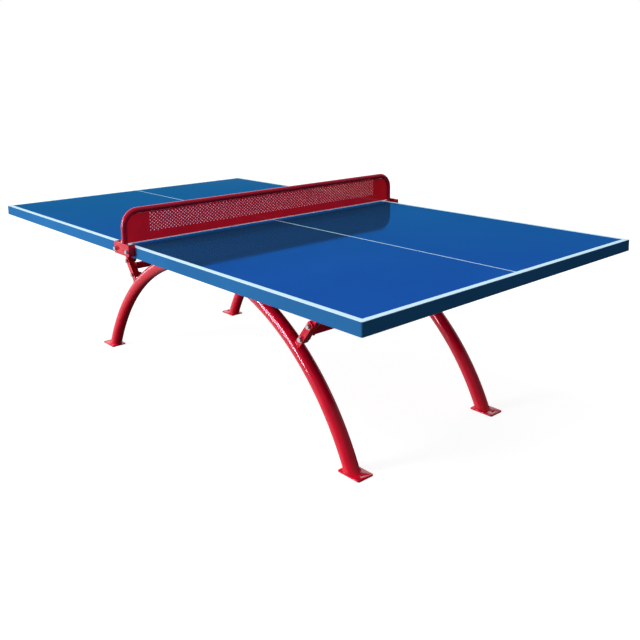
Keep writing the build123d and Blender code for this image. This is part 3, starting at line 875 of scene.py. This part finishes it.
class TABLE_OT_thread_bolts(bpy.types.Operator):
    """Make the threaded hexagon bolts of the struts and the net brackets"""

    bl_idname = "table.thread_bolts"
    bl_label = "Thread the bolts"

    def execute(self, context):
        strut_points = [on_strut(ARCH_OUTER + reach) for reach in STRUT_BOLT_REACHES]
        self.fasten("strut_bolts", STRUT_BOLT, [(point.x, point.z) for point in strut_points])
        low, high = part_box("net_bolts")
        head_corner = NET_BOLT["flats"] / 2 / cos(radians(30))
        net_x = (high.x - low.x) / 2 - head_corner
        self.fasten("net_bolts", NET_BOLT, [(net_x, (low.z + high.z) / 2)])
        return {"FINISHED"}

    def shank_length(self, node, head):
        """How far the shanks of this node's bolts reach below their heads."""
        across = [vertex.co.y for vertex in frame["nodes"][node].data.vertices]
        tip = min(y for y in across if y > 0)
        return max(across) - head - tip

    def fasten(self, node, bolt_sizes, places):
        """Model one bolt and copy it to these places of every corner, with its head outwards."""
        head = bolt_sizes["head"]
        bolt = threaded_bolt(node + "_pattern", length=self.shank_length(node, head), **bolt_sizes)
        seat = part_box(node)[1].y - head
        outwards = Matrix.Rotation(radians(-90), 4, "X")
        copies = []
        for x, z in places:
            for _, side, edge in CORNERS:
                placing = quarter(side, edge) @ Matrix.Translation((x, seat, z)) @ outwards
                copies.append(copied(bolt, f"{node}_{len(copies)}", placing))
        mount(joined(node + "_threaded", copies), "bolt_steel", node)
        discard(bolt)


class TABLE_OT_bend_net_frame(bpy.types.Operator):
    """Bend the net's tube frame"""

    bl_idname = "table.bend_net_frame"
    bl_label = "Bend the net frame"

    def execute(self, context):
        y = net_high.y - NET_TUBE
        z = net_high.z - NET_TUBE
        tube = fresh(
            "net_tube", bpy.ops.mesh.primitive_circle_add, vertices=40, radius=NET_TUBE,
            fill_type="NGON", location=(0, -y, net_low.z),
        )
        rise = z - NET_BEND - net_low.z
        run = y - NET_BEND
        bend = {"steps": 20, "angle": pi / 2, "axis": (1, 0, 0)}
        edit(tube)
        bpy.ops.mesh.extrude_region_move(TRANSFORM_OT_translate={"value": (0, 0, rise)})
        bpy.ops.mesh.spin(center=(0, -run, z - NET_BEND), **bend)
        bpy.ops.mesh.extrude_region_move(TRANSFORM_OT_translate={"value": (0, 2 * run, 0)})
        bpy.ops.mesh.spin(center=(0, run, z - NET_BEND), **bend)
        bpy.ops.mesh.extrude_region_move(TRANSFORM_OT_translate={"value": (0, 0, -rise)})
        leave_edit()
        tidy_mesh(tube)
        mount(tube, "net_red", "net_frame")
        return {"FINISHED"}


def area_light(name, place, target, size, power, colour=(1.0, 1.0, 1.0)):
    """A rectangular soft box, turned towards its target."""
    data = bpy.data.lights.new(name, "AREA")
    data.shape = "RECTANGLE"
    data.size, data.size_y = size
    data.energy = power
    data.color = colour
    lamp = bpy.data.objects.new(name, data)
    lamp.location = place
    lamp.rotation_mode = "QUATERNION"
    lamp.rotation_quaternion = (Vector(target) - Vector(place)).to_track_quat("-Z", "Y")
    bpy.context.scene.collection.objects.link(lamp)
    return lamp


def falls_only_on(lamp, pieces):
    """Limit a lamp to these pieces."""
    receivers = bpy.data.collections.new(lamp.name + "_receivers")
    for piece in pieces:
        receivers.objects.link(piece)
    lamp.light_linking.receiver_collection = receivers


class Surroundings(Nodes):
    """The light that reaches the table from all round, by the way that it comes from."""

    def __init__(self, name):
        self.world = bpy.data.worlds.new(name)
        self.world.use_nodes = True
        super().__init__(self.world.node_tree)
        self.way = self.node("ShaderNodeTexCoord").outputs["Generated"]

    def eased(self, value, low, high, to_low=0.0, to_high=1.0):
        """The value, taken smoothly from one range to another."""
        return self.between(value, low, high, to_low, to_high, "SMOOTHSTEP")

    def blend(self, amount, first, second):
        """The first brightness, taken towards the second."""
        node = self.node("ShaderNodeMix", data_type="FLOAT")
        for index, value in ((0, amount), (2, first), (3, second)):
            self.feed(node.inputs[index], value)
        return node.outputs[0]

    def towards(self, x, y):
        """How well the way agrees with this level direction."""
        node = self.node("ShaderNodeVectorMath", operation="DOT_PRODUCT")
        self.link(self.way, node.inputs[0])
        node.inputs[1].default_value = (x, y, 0.0)
        return node.outputs["Value"]


def studio_world():
    """A pale studio: cards behind and at the left, a dim ceiling, and a ground that glows to the left.

    What the camera sees of it directly is plain white.
    """
    room = Surroundings("studio")
    bare_wall, ceiling, plain_white = 0.25, 0.35, 1.0
    _, _, height = room.parts(room.way)
    card = room.eased(height, 0.06, 0.36, 0.55, 1.55)
    card = room.blend(room.eased(height, 0.40, 0.60), card, ceiling)
    behind = room.eased(room.towards(-0.75, 0.66), 0.35, 0.75)
    left = room.eased(room.towards(-0.87, -0.50), 0.45, 0.85)
    sky = room.blend(left, room.blend(behind, bare_wall, card), card)
    ground = room.eased(room.towards(-0.82, -0.57), 0.2, 1.0, 0.03, 0.9)
    studio = room.blend(room.eased(height, -0.02, 0.02), ground, sky)
    seen = room.node("ShaderNodeLightPath").outputs["Is Camera Ray"]
    background = room.tree.nodes["Background"]
    room.link(room.blend(seen, studio, plain_white), background.inputs["Strength"])
    background.inputs["Color"].default_value = (1.0, 1.0, 1.0, 1.0)
    return room.world


def studio_floor():
    """A wide matt floor that glows a little, so that the shadows on it stay faint."""
    floor = fresh("studio_floor", bpy.ops.mesh.primitive_plane_add, size=1600.0)
    mix = Recipe("studio_floor")
    clouds = mix.clouds(0.8, 3.0, 0.5)
    mottled = mix.mixed(clouds, (0.40, 0.40, 0.40), (0.43, 0.43, 0.43))
    dress(floor, mix.finish(
        mottled, 0.9, mix.bump(mix.noise(30.0), 0.1 * MM, 0.1), Specular_IOR_Level=0.0,
        Emission_Color=(1.0, 1.0, 1.0, 1.0), Emission_Strength=0.86,
    ))
    floor.visible_glossy = False
    floor.visible_diffuse = False
    return floor


def broad_light():
    """A wide sun and two soft boxes, which light everything and mirror in nothing."""
    sun_data = bpy.data.lights.new("broad_sun", "SUN")
    sun_data.energy = 1.3
    sun_data.angle = radians(50)
    sun = bpy.data.objects.new("broad_sun", sun_data)
    sun.rotation_euler = (radians(24), radians(-18), 0.0)
    bpy.context.scene.collection.objects.link(sun)
    key = area_light(
        "key_softbox", KEY_PLACE, KEY_TARGET, size=(1.2, 2.2), power=122, colour=(1.0, 0.94, 0.97)
    )
    overhead = area_light(
        "overhead_softbox", place=(0.4, -0.4, 4.4), target=(0.2, 0.0, 0.0), size=(3.0, 1.2), power=40
    )
    for lamp in (sun, key, overhead):
        lamp.visible_glossy = False


def steel_light():
    """Lamps that pass the tops, bolts and floor by: long highlights, and a fill on the net's sheet."""
    zinc = finish_of("bolt_steel").name
    coated = [
        piece for piece in bpy.data.objects
        if piece.type == "MESH" and zinc not in piece.data.materials
        and not piece.name.startswith(("table_top", "studio"))
    ]
    highlight = area_light(
        "steel_highlight", KEY_PLACE, KEY_TARGET, size=(1.8, 2.4), power=760, colour=(1.0, 0.90, 0.95)
    )
    highlight.visible_diffuse = False
    strip = area_light(
        "left_strip", place=(-4.4, -1.4, 1.5), target=(0.0, 0.0, 0.5),
        size=(0.3, 3.0), power=24, colour=(1.0, 0.72, 0.92),
    )
    for lamp in (highlight, strip):
        falls_only_on(lamp, coated)
    net_fill = area_light(
        "net_fill", place=(2.8, -0.4, 2.0), target=(0.0, 0.0, 0.8), size=(1.0, 1.0), power=25
    )
    net_fill.visible_glossy = False
    falls_only_on(net_fill, [frame["nodes"]["net_panel"]])


def studio_camera():
    """The camera: it looks down a little from beyond the near right corner, with a slight roll."""
    place = (2.8503, -2.2077, 1.4479)
    azimuth, height, roll = radians(48.65), radians(8.651), radians(-0.785)
    lens = bpy.data.cameras.new("camera")
    lens.sensor_width = 36.0
    lens.lens = 43.4
    lens.shift_x, lens.shift_y = -0.0028, -0.203
    lens.clip_end = 2000.0
    camera = bpy.data.objects.new("camera", lens)
    back_axis = Vector((sin(azimuth) * cos(height), -cos(azimuth) * cos(height), sin(height)))
    level = Vector((0, 0, 1)).cross(back_axis).normalized()
    upright = back_axis.cross(level)
    right = level * cos(roll) + upright * sin(roll)
    up = upright * cos(roll) - level * sin(roll)
    turn = Matrix((right, up, back_axis)).transposed().to_4x4()
    camera.matrix_world = Matrix.Translation(place) @ turn
    bpy.context.scene.collection.objects.link(camera)
    return camera


class TABLE_OT_set_stage(bpy.types.Operator):
    """Make the floor, the lights and the camera"""

    bl_idname = "table.set_stage"
    bl_label = "Set the stage"

    def execute(self, context):
        studio_floor()
        context.scene.world = studio_world()
        broad_light()
        steel_light()
        context.scene.camera = studio_camera()
        context.scene.view_settings.view_transform = "Standard"
        return {"FINISHED"}


STEPS = (
    TABLE_OT_paint_top, TABLE_OT_coat_steel, TABLE_OT_bend_arches, TABLE_OT_ease_plates, TABLE_OT_lay_welds,
    TABLE_OT_thread_bolts, TABLE_OT_bend_net_frame, TABLE_OT_set_stage,
)


class TABLE_PT_steps(bpy.types.Panel):
    """Sizes, colours and steps of the table."""

    bl_idname = "TABLE_PT_steps"
    bl_label = "Table tennis table"
    bl_space_type = "VIEW_3D"
    bl_region_type = "UI"
    bl_category = "Table Tennis"

    def draw(self, context):
        for group in (context.scene.table_sizes, context.scene.table_colours):
            for name in group.__annotations__:
                self.layout.prop(group, name)
        for step in STEPS:
            self.layout.operator(step.bl_idname)


CLASSES = (TableSizes, TableColours, *STEPS, TABLE_PT_steps)


def register():
    for kind in CLASSES:
        bpy.utils.register_class(kind)
    bpy.types.Scene.table_sizes = bpy.props.PointerProperty(type=TableSizes)
    bpy.types.Scene.table_colours = bpy.props.PointerProperty(type=TableColours)


def unregister():
    del bpy.types.Scene.table_sizes
    del bpy.types.Scene.table_colours
    for kind in reversed(CLASSES):
        bpy.utils.unregister_class(kind)


def main():
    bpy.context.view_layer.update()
    register()
    for step in STEPS:
        group, name = step.bl_idname.split(".")
        getattr(getattr(bpy.ops, group), name)()


if __name__ == "__main__":
    main()
